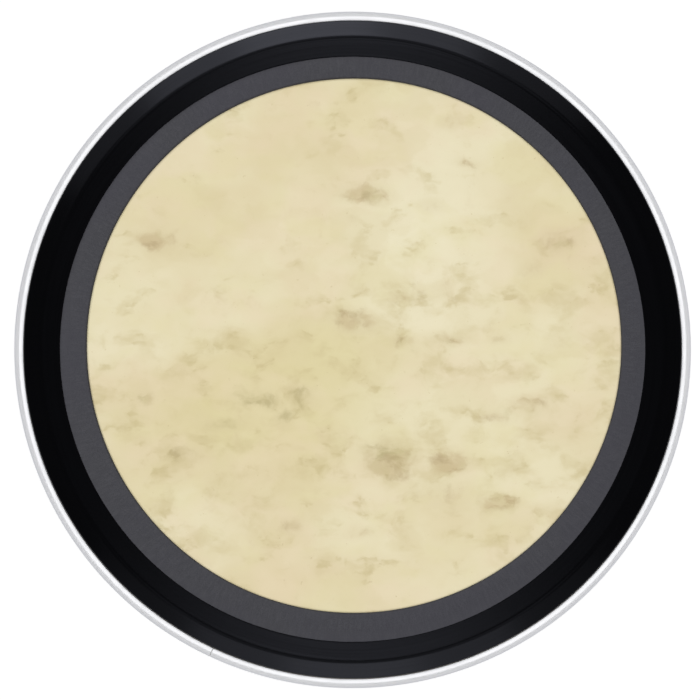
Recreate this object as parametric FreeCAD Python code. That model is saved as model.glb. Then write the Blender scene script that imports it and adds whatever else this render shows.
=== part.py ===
import FreeCAD, Part
import math
import os

# A bass drum head that carries its damper outside: a metal hoop, a film, a black flange and a foam ring.
# Millimetres. z = 0 is the underside of the hoop, +Z points out of the playing face, and the axis is Z.
# Sections are drawn with r outward from the axis and z upward.

# Hoop, a channel rolled from flat strip
bore_radius = 279.4          # clear inside the hoop: a 22 in head
hoop_width = 10.6
hoop_height = 9.6
hoop_wall = 0.8
hoop_floor_bend = 0.7        # inside radius of the two bends at the floor
hoop_brow_bend = 4.8         # inside radius of the bend at the outer top edge
inner_wall_height = 6.4
mouth_gap = 0.3              # between the flange and the free edge of the hoop's top
seam_gap = 0.3               # butt seam of the rolled strip
seam_azimuth = 245.0         # degrees from +X

# Splice bar over the seam, and the resin above it
splice_length = 44.0
splice_thickness = 1.2
splice_side_gap = 0.2        # beyond the channel's floor bends
resin_drop = 0.8             # surface of the resin below the top of the inner wall

# Film
film_thickness = 0.305
film_rise = 10.4             # playing surface above the top of the hoop
crown_inset = 2.8            # corner of the collar inside the bore
crown_bend = 3.0

# Feet and legs of the film and the flange in the channel
leg_gap = 0.2                # from the inner wall to the film, and from the film to the flange
foot_gap = 0.5               # resin between the splice, the film's foot and the flange's foot
foot_setback = 1.4           # the feet end short of the outer wall
foot_bend = 0.8              # mid-line radius
collar_bend = 3.0            # mid-line radius where the legs lean in

# Flange
flange_thickness = 0.8
wall_inset = 1.3             # corner of the knee inside the leg
knee_rise = 0.5              # corner of the shoulder above the playing surface
knee_bend = 1.2              # mid-line radius
shoulder_width = 14.1        # knee to the corner of the lip
lip_width = 17.3             # corner to the free edge
lip_bend = 10.0              # mid-line radius

# Foam ring, loose under the lip
foam_thickness = 6.6         # where the lip holds it
foam_show = 21.3             # width left bare inside the lip
foam_swell = 0.5             # the bare part stands this much higher
foam_edge = 1.6              # rounding of the free edges
foam_shift_x = 1.25          # the loose ring lies a little off the axis
foam_shift_y = 3.0
foam_back_clearance = 1.0    # behind its outer edge, at the side that it lies nearest
nip_clearance = 1.0          # between the lip's edge and the swell, at that side
film_clearance = 0.1         # under the foam
lip_clearance = 0.2          # over the foam

# Channel of the hoop
hoop_outer = bore_radius + hoop_width
channel_inside = bore_radius + hoop_wall
channel_outside = hoop_outer - hoop_wall
channel_floor = hoop_wall

# Mid-lines of the film
film_top = hoop_height + film_rise
film_z = film_top - film_thickness / 2
film_leg_r = channel_inside + leg_gap + film_thickness / 2
film_foot_z = channel_floor + splice_thickness + foot_gap + film_thickness / 2
film_crown_r = bore_radius - crown_inset

# Mid-lines of the flange: its wall stands steeper than the film's collar
flange_leg_r = film_leg_r + film_thickness / 2 + leg_gap + flange_thickness / 2
flange_foot_z = film_foot_z + film_thickness / 2 + foot_gap + flange_thickness / 2
knee_z = film_top + knee_rise
knee_r = flange_leg_r - wall_inset
wall_lean = wall_inset / (knee_z - inner_wall_height)
lip_corner_r = knee_r - shoulder_width
lip_edge_r = lip_corner_r - lip_width
lip_underside = film_top + film_clearance + foam_thickness + lip_clearance
lip_z = lip_underside + flange_thickness / 2

# Edges that follow from the pieces beside them
hoop_top_underside = hoop_height - hoop_wall
flange_at_mouth = flange_leg_r + flange_thickness / 2 - wall_lean * (hoop_top_underside - inner_wall_height)
hoop_mouth_r = flange_at_mouth + mouth_gap
resin_top = inner_wall_height - resin_drop
foam_shift = math.hypot(foam_shift_x, foam_shift_y)
foam_inner = lip_edge_r - foam_show
foam_outer = lip_corner_r - foam_shift - foam_back_clearance

axis_foot = FreeCAD.Vector(0, 0, 0)
axis_up = FreeCAD.Vector(0, 0, 1)


def at(r, z):
    """A point of the section."""
    return FreeCAD.Vector(r, 0, z)


def left_of(direction):
    """The unit vector to the left of a direction in the section."""
    return FreeCAD.Vector(-direction.z, 0, direction.x)


def arc(start, middle, end):
    return Part.Arc(start, middle, end).toShape()


def chain(stops):
    """Edges through a list of (point, middle of an arc to it or None), left out where two points meet."""
    edges = []
    for (start, _), (end, middle) in zip(stops, stops[1:]):
        if middle is not None:
            edges.append(arc(start, middle, end))
        elif start.distanceToPoint(end) > 1e-6:
            edges.append(Part.makeLine(start, end))
    return edges


def sheet_side(path, bends, offset):
    """Stops along one side of a bent sheet, offset to the left of its mid-line."""
    ways = [(b - a).normalize() for a, b in zip(path, path[1:])]
    stops = [(path[0] + left_of(ways[0]) * offset, None)]
    for corner, bend, before, after in zip(path[1:], bends, ways, ways[1:]):
        across = left_of(before) + left_of(after)
        point = corner + across * (offset / (1 + before.dot(after)))
        turn = math.atan2(before.x * after.z - before.z * after.x, before.dot(after))
        radius = bend - math.copysign(offset, turn * offset)
        reach = radius * math.tan(abs(turn) / 2)
        start = point - before * reach
        end = point + after * reach
        centre = start + left_of(before) * math.copysign(radius, turn)
        middle = centre + (point - centre).normalize() * radius
        stops += [(start, None), (end, middle)]
    stops.append((path[-1] + left_of(ways[-1]) * offset, None))
    return stops


def bent_sheet(path, bends, thickness, rounded_end):
    """Section of a sheet bent along its mid-line, with mid-line bend radii and a square or rounded end."""
    half = thickness / 2
    left = chain(sheet_side(path, bends, half))
    right = chain(sheet_side(path, bends, -half))
    ahead = (path[-1] - path[-2]).normalize()
    ends = [path[-1] + left_of(ahead) * half, path[-1] - left_of(ahead) * half]
    if rounded_end:
        cap = arc(ends[0], path[-1] + ahead * half, ends[1])
    else:
        cap = Part.makeLine(*ends)
    ahead = (path[1] - path[0]).normalize()
    foot = Part.makeLine(path[0] - left_of(ahead) * half, path[0] + left_of(ahead) * half)
    return Part.Wire(Part.__sortEdges__(left + right + [cap, foot]))


def turned(section, angle=360.0, start=0.0):
    """A solid turned about the axis from a closed section, from a start angle in degrees."""
    solid = Part.Face(section).revolve(axis_foot, axis_up, angle)
    solid.rotate(axis_foot, axis_up, start)
    return solid


def make_hoop_channel():
    """Inner wall, floor, outer wall and a top that reaches in to the mouth, rolled up to a butt seam."""
    half = hoop_wall / 2
    path = [
        at(bore_radius + half, inner_wall_height),
        at(bore_radius + half, half),
        at(hoop_outer - half, half),
        at(hoop_outer - half, hoop_height - half),
        at(hoop_mouth_r + half, hoop_height - half),
    ]
    bends = [hoop_floor_bend + half, hoop_floor_bend + half, hoop_brow_bend + half]
    ring = turned(bent_sheet(path, bends, hoop_wall, rounded_end=True))
    slit_corner = FreeCAD.Vector(bore_radius - hoop_width, -seam_gap / 2, -hoop_height)
    slit = Part.makeBox(3 * hoop_width, seam_gap, 3 * hoop_height, slit_corner)
    slit.rotate(axis_foot, axis_up, seam_azimuth)
    return ring.cut(slit)


def make_hoop_splice():
    """A curved bar on the floor of the channel, centred on the seam."""
    inner = channel_inside + hoop_floor_bend + splice_side_gap
    outer = channel_outside - hoop_floor_bend - splice_side_gap
    top = channel_floor + splice_thickness
    corners = [at(inner, channel_floor), at(outer, channel_floor), at(outer, top), at(inner, top)]
    angle = math.degrees(splice_length / hoop_outer)
    return turned(Part.makePolygon(corners + corners[:1]), angle, seam_azimuth - angle / 2)


def make_drum_film():
    """A foot in the channel, a leg, the leaning collar and the flat playing surface."""
    path = [
        at(channel_outside - foot_setback, film_foot_z),
        at(film_leg_r, film_foot_z),
        at(film_leg_r, inner_wall_height),
        at(film_crown_r, film_z),
        at(0, film_z),
    ]
    return turned(bent_sheet(path, [foot_bend, collar_bend, crown_bend], film_thickness, rounded_end=False))


def make_damper_flange():
    """A foot and leg beside the film's, a wall round the collar, a sloping shoulder and a flat lip."""
    path = [
        at(channel_outside - foot_setback, flange_foot_z),
        at(flange_leg_r, flange_foot_z),
        at(flange_leg_r, inner_wall_height),
        at(knee_r, knee_z),
        at(lip_corner_r, lip_z),
        at(lip_edge_r + flange_thickness / 2, lip_z),
    ]
    bends = [foot_bend, collar_bend, knee_bend, lip_bend]
    return turned(bent_sheet(path, bends, flange_thickness, rounded_end=True))


def make_resin_fill(beside_it):
    """The channel filled to just below its inner wall, under the hoop's brow and around what is set in it."""
    bend = hoop_floor_bend
    slant = bend * (1 - math.sqrt(0.5))
    inside, outside, floor = channel_inside, channel_outside, channel_floor
    stops = [
        (at(inside, resin_top), None),
        (at(inside, floor + bend), None),
        (at(inside + bend, floor), at(inside + slant, floor + slant)),
        (at(outside - bend, floor), None),
        (at(outside, floor + bend), at(outside - slant, floor + slant)),
        (at(outside, resin_top), None),
        (at(inside, resin_top), None),
    ]
    return turned(Part.Wire(chain(stops))).cut(beside_it)


def make_foam_damper_ring():
    """A flat-bottomed ring, level where the lip holds it and swelling where it is bare."""
    bottom = film_top + film_clearance
    top = bottom + foam_thickness
    waist = bottom + foam_thickness / 2
    nip_r = lip_edge_r - foam_shift - nip_clearance
    crest = at((foam_inner + foam_edge + nip_r) / 2, top + foam_swell)
    slant = foam_edge * (1 - math.sqrt(0.5))
    stops = [
        (at(foam_inner + foam_edge, bottom), None),
        (at(foam_inner + foam_edge, top), at(foam_inner, waist)),
        (at(nip_r, top), crest),
        (at(foam_outer - foam_edge, top), None),
        (at(foam_outer, top - foam_edge), at(foam_outer - slant, top - slant)),
        (at(foam_outer, bottom), None),
        (at(foam_inner + foam_edge, bottom), None),
    ]
    ring = turned(Part.Wire(chain(stops)))
    ring.translate(FreeCAD.Vector(foam_shift_x, foam_shift_y, 0))
    return ring


def main():
    hoop_channel = make_hoop_channel()
    hoop_splice = make_hoop_splice()
    drum_film = make_drum_film()
    damper_flange = make_damper_flange()
    nodes = {
        "hoop_channel": hoop_channel,
        "hoop_splice": hoop_splice,
        "resin_fill": make_resin_fill([hoop_channel, hoop_splice, drum_film, damper_flange]),
        "drum_film": drum_film,
        "damper_flange": damper_flange,
        "foam_damper_ring": make_foam_damper_ring(),
    }
    os.makedirs("parts", exist_ok=True)
    for name, shape in nodes.items():
        shape.exportStep("parts/" + name + ".step")
        print(name, len(shape.Solids), "solid", round(shape.Volume / 1000, 2), "cm3", shape.isValid())


main()
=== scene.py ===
import math

import bpy
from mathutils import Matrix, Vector


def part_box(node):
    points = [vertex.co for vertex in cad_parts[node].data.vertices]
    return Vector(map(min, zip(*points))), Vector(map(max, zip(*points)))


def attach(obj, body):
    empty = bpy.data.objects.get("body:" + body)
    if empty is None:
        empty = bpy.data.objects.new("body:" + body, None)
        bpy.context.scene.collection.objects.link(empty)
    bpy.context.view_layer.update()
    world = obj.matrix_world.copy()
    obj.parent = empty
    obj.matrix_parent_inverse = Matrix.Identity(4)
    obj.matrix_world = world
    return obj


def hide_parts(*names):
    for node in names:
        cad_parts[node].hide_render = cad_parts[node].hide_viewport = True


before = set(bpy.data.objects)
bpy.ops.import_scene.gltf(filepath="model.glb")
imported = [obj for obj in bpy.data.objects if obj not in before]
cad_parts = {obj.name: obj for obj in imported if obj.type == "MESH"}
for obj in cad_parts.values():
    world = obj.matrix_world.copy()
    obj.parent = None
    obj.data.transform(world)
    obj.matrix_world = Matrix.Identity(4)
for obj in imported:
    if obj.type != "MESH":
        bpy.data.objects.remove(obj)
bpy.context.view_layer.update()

# A bass drum head with an outside damper, in metres, lying on a pale floor.
# Sections of the pieces are drawn with r outward from the axis and z upward.

scene = bpy.context.scene
mm = 0.001


def reach(node, pick, centre=Vector((0, 0, 0))):
    """The least or greatest radius of a CAD node about an upright axis."""
    return pick((v.co - centre).xy.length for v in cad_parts[node].data.vertices)


# Sizes from the frame
hoop_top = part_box("hoop_channel")[1].z
film_low, film_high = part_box("drum_film")
flange_low, flange_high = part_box("damper_flange")
foam_low, foam_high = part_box("foam_damper_ring")
foam_middle = (foam_low + foam_high) / 2
bore_r = reach("hoop_channel", min)
hoop_r = reach("hoop_channel", max)
foot_r = reach("drum_film", max)
lip_edge_r = reach("damper_flange", min)
foam_inner = reach("foam_damper_ring", min, foam_middle)
foam_outer = reach("foam_damper_ring", max, foam_middle)

# Driving sizes of the hoop. Bends of sheets are given on the mid-line.
hoop_wall = 0.0008
hoop_floor_bend = 0.0011
hoop_brow_bend = 0.0052
inner_wall_top = 0.0064
mouth_r = 0.28178                # free edge of the hoop's top
seam_azimuth = math.radians(245)
seam_gap = 0.0003

# Driving sizes of the film and the flange, on their mid-lines
film_thickness = 0.000305
film_leg_r = 0.28055
film_crown_r = 0.2766
flange_thickness = 0.0008
flange_leg_r = 0.2813
knee_r = 0.28
knee_z = 0.0205
lip_corner_r = 0.2659
foot_bend = 0.0008
collar_bend = 0.003
knee_bend = 0.0012
lip_bend = 0.01

# Driving sizes of the foam ring
foam_edge = 0.0016               # rounding of its free edges
foam_swell = 0.0005              # the bare part stands this much higher
nip_r = 0.24436                  # where the swell ends, short of the lip

# Fineness of the meshes
round_steps = 384                # round the hoop, the film and the flange
foam_steps = 640                 # round the foam ring
hoop_bend_steps = 10
film_bend_steps = 7
flange_bend_steps = 9
foam_floor_steps = 8
foam_inner_steps = 8
foam_swell_steps = 16
foam_level_steps = 6
foam_back_steps = 4
flat_margin = 0.0008             # from the end of a straight run to the station that keeps it flat
merge_distance = 1e-6

# Free edges of the sheets: their rounding is a share of the thickness
broken_edge = 0.3
rounded_edge = 0.42
edge_segments = 3
sharp_angle = math.radians(55)
sheet_smooth_angle = math.radians(35)
foam_smooth_angle = math.radians(50)


def at(r, z):
    """A point of a section."""
    return Vector((r, z))


def bent(path, bends, steps):
    """Stations along a path whose inner corners are rounded to the given radii."""
    stations = [path[0]]
    for before, corner, after, radius in zip(path, path[1:], path[2:], bends):
        back = (before - corner).normalized()
        on = (after - corner).normalized()
        half = back.angle(on) / 2
        centre = corner + (back + on).normalized() * (radius / math.sin(half))
        start = corner + back * (radius / math.tan(half)) - centre
        end = corner + on * (radius / math.tan(half)) - centre
        for i in range(steps + 1):
            spoke = start.lerp(end, i / steps).normalized() * radius
            stations.append(centre + spoke)
    stations.append(path[-1])
    return held(stations)


def held(stations):
    """The stations, with one more beside each end of a long straight run to keep it flat to the eye."""
    long_run = 4 * flat_margin
    kept = stations[:1]
    for here, there in zip(stations, stations[1:]):
        if (there - here).length > long_run:
            way = (there - here).normalized() * flat_margin
            kept += [here + way, there - way]
        kept.append(there)
    return kept


def shares(steps):
    """Even shares of a stretch, from the first step to the whole."""
    return [i / steps for i in range(1, steps + 1)]


def turned(name, stations, steps):
    """A skin turned about the axis: a circle drawn out ring by ring through the stations.

    The piece is left in edit mode with its last ring selected.
    """
    bpy.ops.object.select_all(action="DESELECT")
    first = stations[0]
    bpy.ops.mesh.primitive_circle_add(vertices=steps, radius=first.x, location=(0, 0, 0))
    piece = bpy.context.object
    piece.name = piece.data.name = name
    bpy.ops.object.mode_set(mode="EDIT")
    bpy.ops.mesh.select_all(action="SELECT")
    bpy.ops.transform.translate(value=(0, 0, first.y))
    for here, there in zip(stations, stations[1:]):
        grow = there.x / here.x
        bpy.ops.mesh.extrude_region_move()
        bpy.ops.transform.resize(value=(grow, grow, 1), center_override=(0, 0, 0))
        bpy.ops.transform.translate(value=(0, 0, there.y - here.y))
    return piece


def slit(ring, azimuth, gap):
    """Opens a turned skin along a radius. The ring is in edit mode, and stays in it."""
    way = Vector((math.cos(azimuth), math.sin(azimuth), 0))
    across = Vector((-way.y, way.x, 0))
    for side in (-1, 1):
        bpy.ops.mesh.select_all(action="SELECT")
        bpy.ops.mesh.bisect(plane_co=across * (side * gap / 2), plane_no=across)
    bpy.ops.mesh.select_all(action="DESELECT")
    bpy.ops.object.mode_set(mode="OBJECT")
    for face in ring.data.polygons:
        face.select = face.center.dot(way) > 0 and abs(face.center.dot(across)) < gap / 2
    bpy.ops.object.mode_set(mode="EDIT")
    bpy.ops.mesh.delete(type="FACE")


def tidy_skin():
    """Doubles merged and normals turned outward, then back to object mode."""
    bpy.ops.mesh.select_all(action="SELECT")
    bpy.ops.mesh.remove_doubles(threshold=merge_distance)
    bpy.ops.mesh.normals_make_consistent(inside=False)
    bpy.ops.object.mode_set(mode="OBJECT")


def thicken(piece, thickness, edge):
    """Gives a mid-line skin its thickness and breaks its free edges."""
    solid = piece.modifiers.new("thickness", "SOLIDIFY")
    solid.thickness = thickness
    solid.offset = 0
    solid.use_even_offset = True
    bpy.ops.object.modifier_apply(modifier="thickness")
    bevel = piece.modifiers.new("broken_edges", "BEVEL")
    bevel.width = edge
    bevel.segments = edge_segments
    bevel.limit_method = "ANGLE"
    bevel.angle_limit = sharp_angle
    bpy.ops.object.modifier_apply(modifier="broken_edges")
    bpy.ops.object.shade_smooth_by_angle(angle=sheet_smooth_angle)


def settle(piece, node, body):
    """Puts a finished piece in the place of its CAD node."""
    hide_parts(node)
    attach(piece, body)


def make_hoop():
    """Inner wall, floor, outer wall and a rolled-in top, slit at the butt seam."""
    half = hoop_wall / 2
    path = [
        at(bore_r + half, inner_wall_top),
        at(bore_r + half, half),
        at(hoop_r - half, half),
        at(hoop_r - half, hoop_top - half),
        at(mouth_r, hoop_top - half),
    ]
    bends = [hoop_floor_bend, hoop_floor_bend, hoop_brow_bend]
    hoop = turned("hoop", bent(path, bends, hoop_bend_steps), round_steps)
    slit(hoop, seam_azimuth, seam_gap)
    tidy_skin()
    thicken(hoop, hoop_wall, hoop_wall * broken_edge)
    settle(hoop, "hoop_channel", "head")
    return hoop


def make_film():
    """A foot in the hoop, the collar and the flat playing surface, filled with a grid."""
    mid_z = film_high.z - film_thickness / 2
    foot_z = film_low.z + film_thickness / 2
    path = [
        at(foot_r, foot_z),
        at(film_leg_r, foot_z),
        at(film_leg_r, inner_wall_top),
        at(film_crown_r, mid_z),
        at(lip_edge_r, mid_z),
    ]
    bends = [foot_bend, collar_bend, collar_bend]
    film = turned("film", bent(path, bends, film_bend_steps), round_steps)
    bpy.ops.mesh.fill_grid(span=round_steps // 4)
    tidy_skin()
    thicken(film, film_thickness, film_thickness * broken_edge)
    settle(film, "drum_film", "head")
    return film


def make_flange():
    """A foot and leg beside the film's, the wall, the sloping shoulder and the flat lip."""
    lip_z = flange_high.z - flange_thickness / 2
    foot_z = flange_low.z + flange_thickness / 2
    path = [
        at(foot_r, foot_z),
        at(flange_leg_r, foot_z),
        at(flange_leg_r, inner_wall_top),
        at(knee_r, knee_z),
        at(lip_corner_r, lip_z),
        at(lip_edge_r, lip_z),
    ]
    bends = [foot_bend, collar_bend, knee_bend, lip_bend]
    flange = turned("flange", bent(path, bends, flange_bend_steps), round_steps)
    tidy_skin()
    thicken(flange, flange_thickness, flange_thickness * rounded_edge)
    settle(flange, "damper_flange", "head")
    return flange


def foam_section():
    """Stations round the foam: flat below, a round inner edge, the bare swell, and level under the lip.

    The swell is a parabola that is highest halfway.
    """
    floor_z = foam_low.z
    top_z = foam_high.z - foam_swell
    waist_z = (floor_z + top_z) / 2
    bare_r = foam_inner + foam_edge
    back_r = foam_outer - foam_edge
    stations = [at(foam_outer, floor_z)]
    for share in shares(foam_floor_steps):
        stations.append(at(foam_outer + (bare_r - foam_outer) * share, floor_z))
    for share in shares(foam_inner_steps):
        turn = math.pi * share
        z = waist_z - (waist_z - floor_z) * math.cos(turn)
        stations.append(at(bare_r - foam_edge * math.sin(turn), z))
    for share in shares(foam_swell_steps):
        rise = foam_swell * 4 * share * (1 - share)
        stations.append(at(bare_r + (nip_r - bare_r) * share, top_z + rise))
    for share in shares(foam_level_steps):
        stations.append(at(nip_r + (back_r - nip_r) * share, top_z))
    for share in shares(foam_back_steps):
        turn = math.pi / 2 * share
        z = top_z - foam_edge * (1 - math.cos(turn))
        stations.append(at(back_r + foam_edge * math.sin(turn), z))
    return stations + [at(foam_outer, waist_z), stations[0]]


def make_foam_ring():
    """The loose ring, turned about the axis and then moved to where it lies."""
    foam = turned("foam_ring", foam_section(), foam_steps)
    bpy.ops.mesh.select_all(action="SELECT")
    bpy.ops.transform.translate(value=(foam_middle.x, foam_middle.y, 0))
    tidy_skin()
    bpy.ops.object.shade_smooth_by_angle(angle=foam_smooth_angle)
    settle(foam, "foam_damper_ring", "foam_ring")
    return foam


def make_floor():
    """A plane just under the hoop."""
    floor_size = 12
    floor_drop = 0.0001
    bpy.ops.object.select_all(action="DESELECT")
    bpy.ops.mesh.primitive_plane_add(size=floor_size, location=(0, 0, -floor_drop))
    floor = bpy.context.object
    floor.name = "floor"
    return floor


def srgb(*channels):
    """A colour given in display values from 0 to 255, as linear light."""
    linear = []
    for channel in channels:
        value = channel / 255
        linear.append(value / 12.92 if value <= 0.04045 else ((value + 0.055) / 1.055) ** 2.4)
    return (*linear, 1)


class Paint:
    """A material, and short ways to add and join its nodes."""

    def __init__(self, name):
        self.material = bpy.data.materials.new(name)
        self.material.use_nodes = True
        self.tree = self.material.node_tree
        self.shader = self.tree.nodes["Principled BSDF"]
        self.place = self.add("ShaderNodeTexCoord").outputs["Object"]

    def add(self, kind, values=None, **settings):
        """A new node with its settings, and a value or a link for each input that is named."""
        node = self.tree.nodes.new(kind)
        for key, value in settings.items():
            setattr(node, key, value)
        for key, value in (values or {}).items():
            self.feed(node.inputs[key], value)
        return node

    def feed(self, socket, value):
        """Links another node to a socket, or sets the socket's own value."""
        if isinstance(value, bpy.types.NodeSocket):
            self.tree.links.new(value, socket)
        else:
            socket.default_value = value

    def look(self, **values):
        """Sets the shader's inputs, named with underscores for spaces."""
        for key, value in values.items():
            self.feed(self.shader.inputs[key.replace("_", " ")], value)

    def math(self, operation, *values):
        return self.add("ShaderNodeMath", dict(enumerate(values)), operation=operation).outputs[0]

    def times(self, a, b):
        return self.math("MULTIPLY", a, b)

    def shift(self, operation, *vectors):
        """A place moved or stretched by other vectors."""
        node = self.add("ShaderNodeVectorMath", dict(enumerate(vectors)), operation=operation)
        return node.outputs["Vector"]

    def length(self, vector):
        return self.add("ShaderNodeVectorMath", {0: vector}, operation="LENGTH").outputs["Value"]

    def noise(self, place, scale, detail=3.0, roughness=0.5):
        values = {"Vector": place, "Scale": scale, "Detail": detail, "Roughness": roughness}
        return self.add("ShaderNodeTexNoise", values).outputs["Fac"]

    def grain(self, x, y, z, detail, roughness=0.5):
        """Noise over a place that is given by its three parts."""
        place = self.add("ShaderNodeCombineXYZ", {0: x, 1: y, 2: z}).outputs[0]
        return self.noise(place, 1.0, detail, roughness)

    def span(self, value, low, high, to_low=0.0, to_high=1.0):
        """Eases a value that goes from low to high over to another span."""
        values = {"Value": value, "From Min": low, "From Max": high, "To Min": to_low, "To Max": to_high}
        return self.add("ShaderNodeMapRange", values, interpolation_type="SMOOTHSTEP").outputs[0]

    def mix(self, factor, a, b):
        """Colour a where the factor is 0 and b where it is 1. Sockets 6, 7 and 2 are the node's colours."""
        return self.add("ShaderNodeMix", {0: factor, 6: a, 7: b}, data_type="RGBA").outputs[2]

    def lay(self, tint, over, amount, strength):
        """A tint laid over a colour."""
        return self.mix(self.times(amount, strength), over, tint)

    def round_about(self, centre=(0, 0, 0)):
        """Radius and angle about the upright axis through a point, and the height."""
        x, y, z = self.add("ShaderNodeSeparateXYZ", {0: self.shift("SUBTRACT", self.place, centre)}).outputs
        squares = self.math("ADD", self.times(x, x), self.times(y, y))
        return self.math("SQRT", squares), self.math("ARCTAN2", y, x), z

    def bump(self, height, strength, distance):
        values = {"Height": height, "Strength": strength, "Distance": distance}
        self.look(Normal=self.add("ShaderNodeBump", values).outputs[0])


def paint_on(piece, paint):
    """Gives a piece one material."""
    piece.data.materials.clear()
    piece.data.materials.append(paint.material)


def satin_aluminium():
    """The hoop's metal: fine lines that run round it, bright on top, with painted shade that darkens its
    colour down its rolled sides.
    """
    fineness = 3000
    bright_above = hoop_top - 0.0004
    shade_below = hoop_top - 0.0028
    paint = Paint("satin_aluminium")
    r, angle, z = paint.round_about()
    lines = paint.grain(paint.times(r, fineness), paint.times(z, fineness), angle, detail=2)
    clouds = paint.noise(paint.place, scale=60)
    bright = paint.mix(lines, srgb(238, 239, 242), srgb(248, 248, 250))
    # Painted shade: below the top the colour blends to a darker grey that stands in for the light the
    # rolled sides lose.
    shaded_sides = paint.mix(lines, srgb(196, 197, 201), srgb(208, 209, 213))
    paint.look(
        Metallic=1.0,
        Base_Color=paint.mix(paint.span(z, shade_below, bright_above), shaded_sides, bright),
        Roughness=paint.span(clouds, 0.3, 0.7, to_low=0.36, to_high=0.42),
        Specular_Tint=(0.75, 0.75, 0.77, 1),
    )
    paint.bump(lines, strength=0.08, distance=0.0002)
    return paint


def black_plastic():
    """The flange's plastic: glossy and faintly uneven."""
    fineness = 900
    paint = Paint("black_plastic")
    r, angle, z = paint.round_about()
    swirl = paint.grain(paint.times(r, fineness), paint.times(z, fineness), angle, detail=3)
    waves = paint.noise(paint.place, scale=35, detail=2)
    paint.look(
        Base_Color=paint.mix(waves, srgb(3, 3, 4), srgb(6, 6, 7)),
        Roughness=paint.span(swirl, 0.3, 0.7, to_low=0.18, to_high=0.24),
        Specular_IOR_Level=0.26,
        Specular_Tint=(0.8, 0.83, 1.0, 1),
    )
    paint.bump(waves, strength=0.05, distance=0.0006)
    return paint


def grey_foam():
    """Matt foam: fine cells, and faint nicks that run from its inner to its outer edge."""
    nicks_round = 120
    nicks_outward = 90
    paint = Paint("grey_foam")
    r, angle, z = paint.round_about((foam_middle.x, foam_middle.y, 0))
    nicks = paint.grain(paint.times(angle, nicks_round), paint.times(r, nicks_outward), z, 4, roughness=0.6)
    pores = paint.noise(paint.place, scale=1500, roughness=0.7)
    drift = paint.noise(paint.place, scale=12, detail=2)
    colour = paint.mix(paint.span(nicks, 0.35, 0.7), srgb(66, 66, 70), srgb(73, 73, 77))
    colour = paint.mix(paint.span(pores, 0.35, 0.55), srgb(57, 57, 61), colour)
    colour = paint.lay(srgb(64, 63, 72), colour, paint.span(drift, 0.3, 0.7), strength=0.3)
    paint.look(Base_Color=colour, Roughness=0.95, Specular_IOR_Level=0.2)
    paint.bump(paint.math("ADD", pores, nicks), strength=0.3, distance=0.0003)
    return paint


# Print of the film. Places are in millimetres from the middle of the film. A wash, an area or a blotch is
# given by its middle, half its width and height, and how strong it is, and a wash also by its tint.
olive = srgb(215, 203, 147)
pale = srgb(235, 227, 195)
rosy = srgb(221, 200, 164)
washes = [
    (-75, -57, 84, 50, olive, 0.75),
    (-12, -4, 70, 36, olive, 0.4),
    (66, 112, 60, 105, pale, 0.7),
    (60, 25, 46, 14, pale, 0.5),
    (-199, 3, 42, 22, pale, 0.5),
    (-133, -160, 48, 30, pale, 0.4),
    (170, -147, 38, 32, pale, 0.35),
    (190, 95, 34, 26, rosy, 0.5),
    (180, -60, 30, 22, rosy, 0.4),
    (-10, -190, 60, 18, rosy, 0.35),
]

# The browns are greener in the olive area, and the smudges are fainter in the clear areas
olive_area = (-75, -57, 110, 70, 1.0)
clear_areas = [
    (-110, 115, 120, 85, 0.6),
    (120, 150, 100, 80, 0.4),
    (10, -200, 120, 50, 0.35),
]
blotches = [
    (-170, 93, 16, 11, 0.8),
    (10, 132, 22, 9, 0.85),
    (1, 25, 19, 10, 0.8),
    (-84, -42, 20, 9, 0.58),
    (-41, -41, 13, 8, 0.55),
    (-60, -57, 8, 6, 0.6),
    (31, -94, 21, 16, 1.0),
    (82, -96, 17, 11, 0.95),
    (124, -131, 16, 7, 0.8),
    (178, 92, 20, 10, 0.5),
    (-176, -40, 9, 6, 0.6),
    (-112, -64, 18, 6, 0.55),
    (-147, -91, 18, 7, 0.55),
    (50, 45, 20, 13, 0.3),
    (76, 49, 16, 11, 0.28),
    (41, 8, 14, 7, 0.55),
    (84, 8, 15, 6, 0.5),
    (125, 9, 9, 5, 0.5),
    (151, 67, 14, 8, 0.4),
    (67, 122, 10, 7, 0.4),
    (155, -48, 14, 8, 0.5),
    (120, -57, 18, 6, 0.4),
    (98, 158, 12, 6, 0.45),
    (-51, -151, 10, 6, 0.45),
    (7, -156, 14, 7, 0.35),
    (74, -124, 26, 14, 0.35),
    (-114, 204, 12, 7, 0.45),
    (84, 192, 10, 6, 0.45),
]


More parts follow.
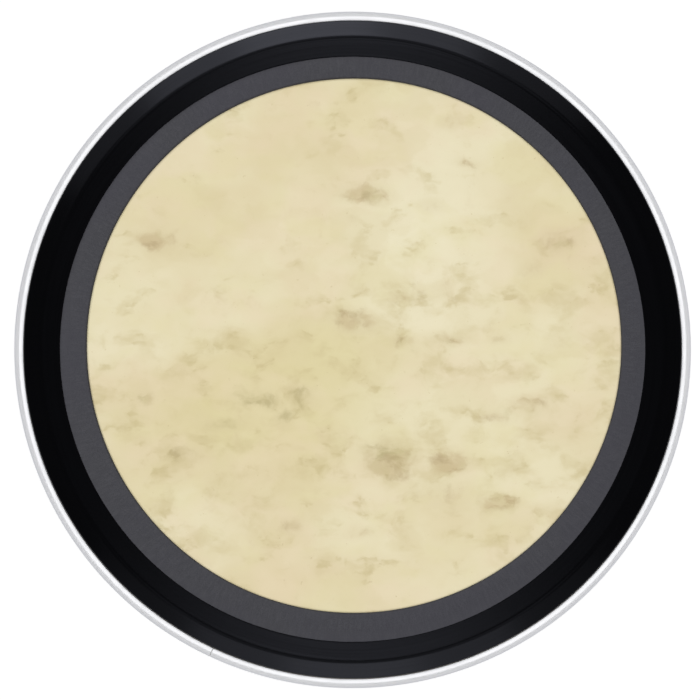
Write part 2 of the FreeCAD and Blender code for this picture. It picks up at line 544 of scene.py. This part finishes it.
class FilmPaint(Paint):
    """Layers of the film's print, from its cream ground up to the blotches."""

    wobble_reach = Vector((0.02, 0.015, 0))      # how far the edges of all layers stray
    layer_stretch = (0.72, 1, 1)
    stroke_stretch = (0.6, 1, 1)
    fade_from = 0.2                              # shares of a blotch's half width and height
    fade_to = 1.65

    def __init__(self, name):
        super().__init__(name)
        values = {"Vector": self.place, "Scale": 38.0, "Detail": 5.0}
        wobble = self.add("ShaderNodeTexNoise", values).outputs["Color"]
        self.warped = self.shift("MULTIPLY_ADD", wobble, self.wobble_reach, self.place)
        self.wide = self.shift("MULTIPLY", self.warped, self.layer_stretch)
        self.smudges = self.spread((0.1, 0.5, 0), scale=48, detail=4, roughness=0.55)
        self.strokes = self.noise(self.shift("MULTIPLY", self.warped, self.stroke_stretch), scale=115)

    def spread(self, offset, scale, detail=3.0, roughness=0.5):
        """Noise drawn out sideways, and moved so that no two layers line up."""
        return self.noise(self.shift("ADD", self.wide, offset), scale, detail, roughness)

    def about(self, x, y, half_wide, half_high, strength):
        """The strength near a middle, fading to nothing beyond the half width and height."""
        middle = Vector((x * mm, y * mm, film_high.z)) + self.wobble_reach / 2
        away = self.shift("SUBTRACT", self.warped, middle)
        away = self.shift("MULTIPLY", away, (1 / (half_wide * mm), 1 / (half_high * mm), 0))
        return self.span(self.length(away), self.fade_from, self.fade_to, to_low=strength, to_high=0.0)

    def ground(self):
        """Clouds of two creams, the washes, and three faint tints over them."""
        clouds = self.span(self.spread((0, 0, 0), scale=12), 0.35, 0.65)
        rosy_tint = self.span(self.spread((0.7, 0.3, 0), scale=22), 0.45, 0.65)
        green_tint = self.span(self.spread((0.2, 0.9, 0), scale=26), 0.46, 0.66)
        patches = self.span(self.spread((0.5, 0.1, 0), scale=28, detail=5), 0.5, 0.6)
        colour = self.mix(clouds, srgb(222, 208, 167), srgb(229, 219, 182))
        for *place, tint, strength in washes:
            colour = self.mix(self.about(*place, strength), colour, tint)
        colour = self.lay(srgb(229, 211, 178), colour, rosy_tint, strength=0.4)
        colour = self.lay(srgb(222, 212, 162), colour, green_tint, strength=0.38)
        return self.lay(srgb(213, 198, 152), colour, patches, strength=0.22)

    def smudged(self, colour):
        """Smudges, and the strokes in them."""
        amount = self.span(self.smudges, 0.46, 0.74)
        for area in clear_areas:
            amount = self.math("SUBTRACT", amount, self.about(*area))
        amount = self.math("MAXIMUM", amount, 0.0)
        stroked = self.times(self.span(self.strokes, 0.48, 0.7), self.span(amount, 0.1, 0.5))
        colour = self.lay(srgb(207, 192, 145), colour, amount, strength=0.58)
        return self.lay(srgb(192, 176, 124), colour, stroked, strength=0.42)

    def blotched(self, colour):
        """Soft blotches and a few specks, with ragged islands and strokes in them."""
        raggedness = 2.4
        clumps = self.noise(self.warped, scale=75, detail=4, roughness=0.55)
        hue = self.noise(self.shift("ADD", self.warped, (0.4, 0.8, 0)), scale=55)
        specks = self.span(self.noise(self.place, scale=330, detail=2), 0.7, 0.76, to_high=0.4)
        where = specks
        for blotch in blotches:
            where = self.math("MAXIMUM", where, self.about(*blotch))
        ragged = self.math("MULTIPLY_ADD", clumps, raggedness, where)
        islands = self.times(self.span(ragged, 1.4, 2.15), self.span(where, 0.0, 0.7, to_low=0.3))
        stroked = self.times(self.span(self.strokes, 0.46, 0.66), islands)
        redness = self.math("SUBTRACT", self.span(hue, 0.25, 0.55), self.about(*olive_area))
        brown = self.mix(redness, srgb(192, 179, 128), srgb(197, 176, 133))
        dark_brown = self.mix(redness, srgb(165, 151, 101), srgb(168, 146, 104))
        colour = self.lay(srgb(208, 193, 150), colour, where, strength=0.6)
        colour = self.lay(brown, colour, islands, strength=0.6)
        return self.lay(dark_brown, colour, stroked, strength=0.48)


def mottled_film():
    """The film: cream, mottled as calfskin is, with a satin skin."""
    paint = FilmPaint("mottled_film")
    paint.look(
        Base_Color=paint.blotched(paint.smudged(paint.ground())),
        Roughness=paint.span(paint.smudges, 0.3, 0.7, to_low=0.5, to_high=0.6),
        Specular_IOR_Level=0.3,
    )
    paint.bump(paint.noise(paint.place, scale=900), strength=0.06, distance=0.0002)
    return paint


def mill_aluminium():
    """The splice bar's metal, as it comes from the mill."""
    paint = Paint("mill_aluminium")
    clouds = paint.noise(paint.place, scale=400)
    scuffs = paint.noise(paint.place, scale=900, detail=2)
    paint.look(
        Metallic=1.0,
        Base_Color=paint.mix(clouds, srgb(190, 192, 195), srgb(212, 213, 215)),
        Roughness=paint.span(scuffs, 0.3, 0.7, to_low=0.35, to_high=0.5),
    )
    return paint


def cast_resin():
    """The resin in the hoop, amber and uneven."""
    paint = Paint("cast_resin")
    clouds = paint.noise(paint.place, scale=150, detail=4)
    ripples = paint.noise(paint.place, scale=500, detail=2)
    paint.look(
        Base_Color=paint.mix(clouds, srgb(196, 178, 138), srgb(214, 199, 164)),
        Roughness=paint.span(ripples, 0.3, 0.7, to_low=0.35, to_high=0.6),
    )
    return paint


def pale_floor():
    """A plain floor that glows a little, so that it stays pale far out."""
    paint = Paint("pale_floor")
    paint.look(
        Base_Color=(0.5, 0.5, 0.5, 1),
        Roughness=0.9,
        Specular_IOR_Level=0.1,
        Emission_Color=(1, 1, 1, 1),
        Emission_Strength=0.56,
    )
    return paint


def soft_box(name, place, width, height, radiance):
    """A lamp that faces the origin, as bright as asked whatever its size."""
    light = bpy.data.lights.new(name, "AREA")
    light.shape = "RECTANGLE"
    light.size = width
    light.size_y = height
    light.energy = radiance * math.pi * width * height
    lamp = bpy.data.objects.new(name, light)
    scene.collection.objects.link(lamp)
    lamp.location = place
    lamp.rotation_euler = (-Vector(place)).to_track_quat("-Z", "Y").to_euler()
    return lamp


def shine_on(lamp, *pieces):
    """Limits what a lamp lights to the given pieces."""
    lit = bpy.data.collections.new(lamp.name + "_lights")
    for piece in pieces:
        lit.objects.link(piece)
    lamp.light_linking.receiver_collection = lit


def light_hoop(hoop):
    """A dim ceiling and four walls, so that the hoop's rolled edge shades alike all round."""
    wall_distance = 3
    wall_z = 1.3
    shine_on(soft_box("hoop_ceiling", (0, 0, 3.1), width=4.8, height=4.8, radiance=1.15), hoop)
    for i in range(4):
        turn = math.pi / 2 * i
        place = (wall_distance * math.cos(turn), wall_distance * math.sin(turn), wall_z)
        shine_on(soft_box(f"hoop_wall_{i}", place, width=6, height=2.4, radiance=0.64), hoop)


def light_flange(flange):
    """What the flange mirrors beyond the top and bottom of the picture.

    The shoulder mirrors two boxes, each in three layers of different widths, so that it fades to its sides.
    The lip mirrors two panels, and the bend between the shoulder and the lip two dim ones.
    """
    box_height = 0.75
    layer_gap = 0.01
    widths_and_shares = [(0.64, 0.42), (1.7, 0.43), (3.4, 0.15)]
    for i, (width, share) in enumerate(widths_and_shares):
        top = (-0.2, 1.45 + layer_gap * i, 0.85)
        bottom = (0, -1.5 - layer_gap * i, 0.85)
        shine_on(soft_box(f"box_top_{i}", top, width, box_height, radiance=2.9 * share), flange)
        shine_on(soft_box(f"box_bottom_{i}", bottom, width, box_height, radiance=1.6 * share), flange)
    panels = [
        soft_box("panel_top", (0, 0.75, 2.9), width=0.5, height=0.5, radiance=1.4),
        soft_box("panel_bottom", (0, -0.62, 2.9), width=0.5, height=0.5, radiance=1.6),
        soft_box("crease_top", (-0.1, 1.5, 2.25), width=2.6, height=0.9, radiance=0.4),
        soft_box("crease_bottom", (0, -1.5, 2.25), width=2.6, height=0.9, radiance=0.35),
    ]
    for panel in panels:
        shine_on(panel, flange)


def make_studio():
    """A dim grey world, with tones shown as they are."""
    grey = 0.09
    world = bpy.data.worlds.new("studio")
    world.use_nodes = True
    world.node_tree.nodes["Background"].inputs["Color"].default_value = (grey, grey, grey, 1)
    scene.world = world
    scene.view_settings.view_transform = "Standard"


def make_camera():
    """Nearly straight above, a little towards the bottom of the picture."""
    distance = 2.5
    tilt = math.radians(-1.0)
    picture_pixels = 700
    pixel = 0.0008589            # of the object, in metres
    aim = Vector((-0.0022, -0.0006, 0))
    camera_data = bpy.data.cameras.new("camera")
    camera_data.lens = camera_data.sensor_width * distance / (picture_pixels * pixel)
    camera = bpy.data.objects.new("camera", camera_data)
    scene.collection.objects.link(camera)
    camera.location = aim + Vector((0, math.sin(tilt), math.cos(tilt))) * distance
    camera.rotation_euler = (-tilt, 0, 0)
    scene.camera = camera


# Pieces and their finishes
hoop = make_hoop()
film = make_film()
flange = make_flange()
foam = make_foam_ring()
paint_on(hoop, satin_aluminium())
paint_on(film, mottled_film())
paint_on(flange, black_plastic())
paint_on(foam, grey_foam())

# Pieces inside the hoop, which stay as the CAD made them
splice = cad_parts["hoop_splice"]
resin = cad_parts["resin_fill"]
paint_on(splice, mill_aluminium())
paint_on(resin, cast_resin())

# Floor, lights and camera: the foam is lit a little more from the top left
floor = make_floor()
paint_on(floor, pale_floor())
ceiling = soft_box("ceiling", (0, 0, 3.0), width=2.2, height=2.2, radiance=6.15)
shine_on(ceiling, film, foam, floor, *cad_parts.values())
foam_side = soft_box("foam_side", (-1.2, 1.2, 0.9), width=0.8, height=0.8, radiance=4.3)
shine_on(foam_side, foam)
light_hoop(hoop)
light_flange(flange)
make_studio()
make_camera()
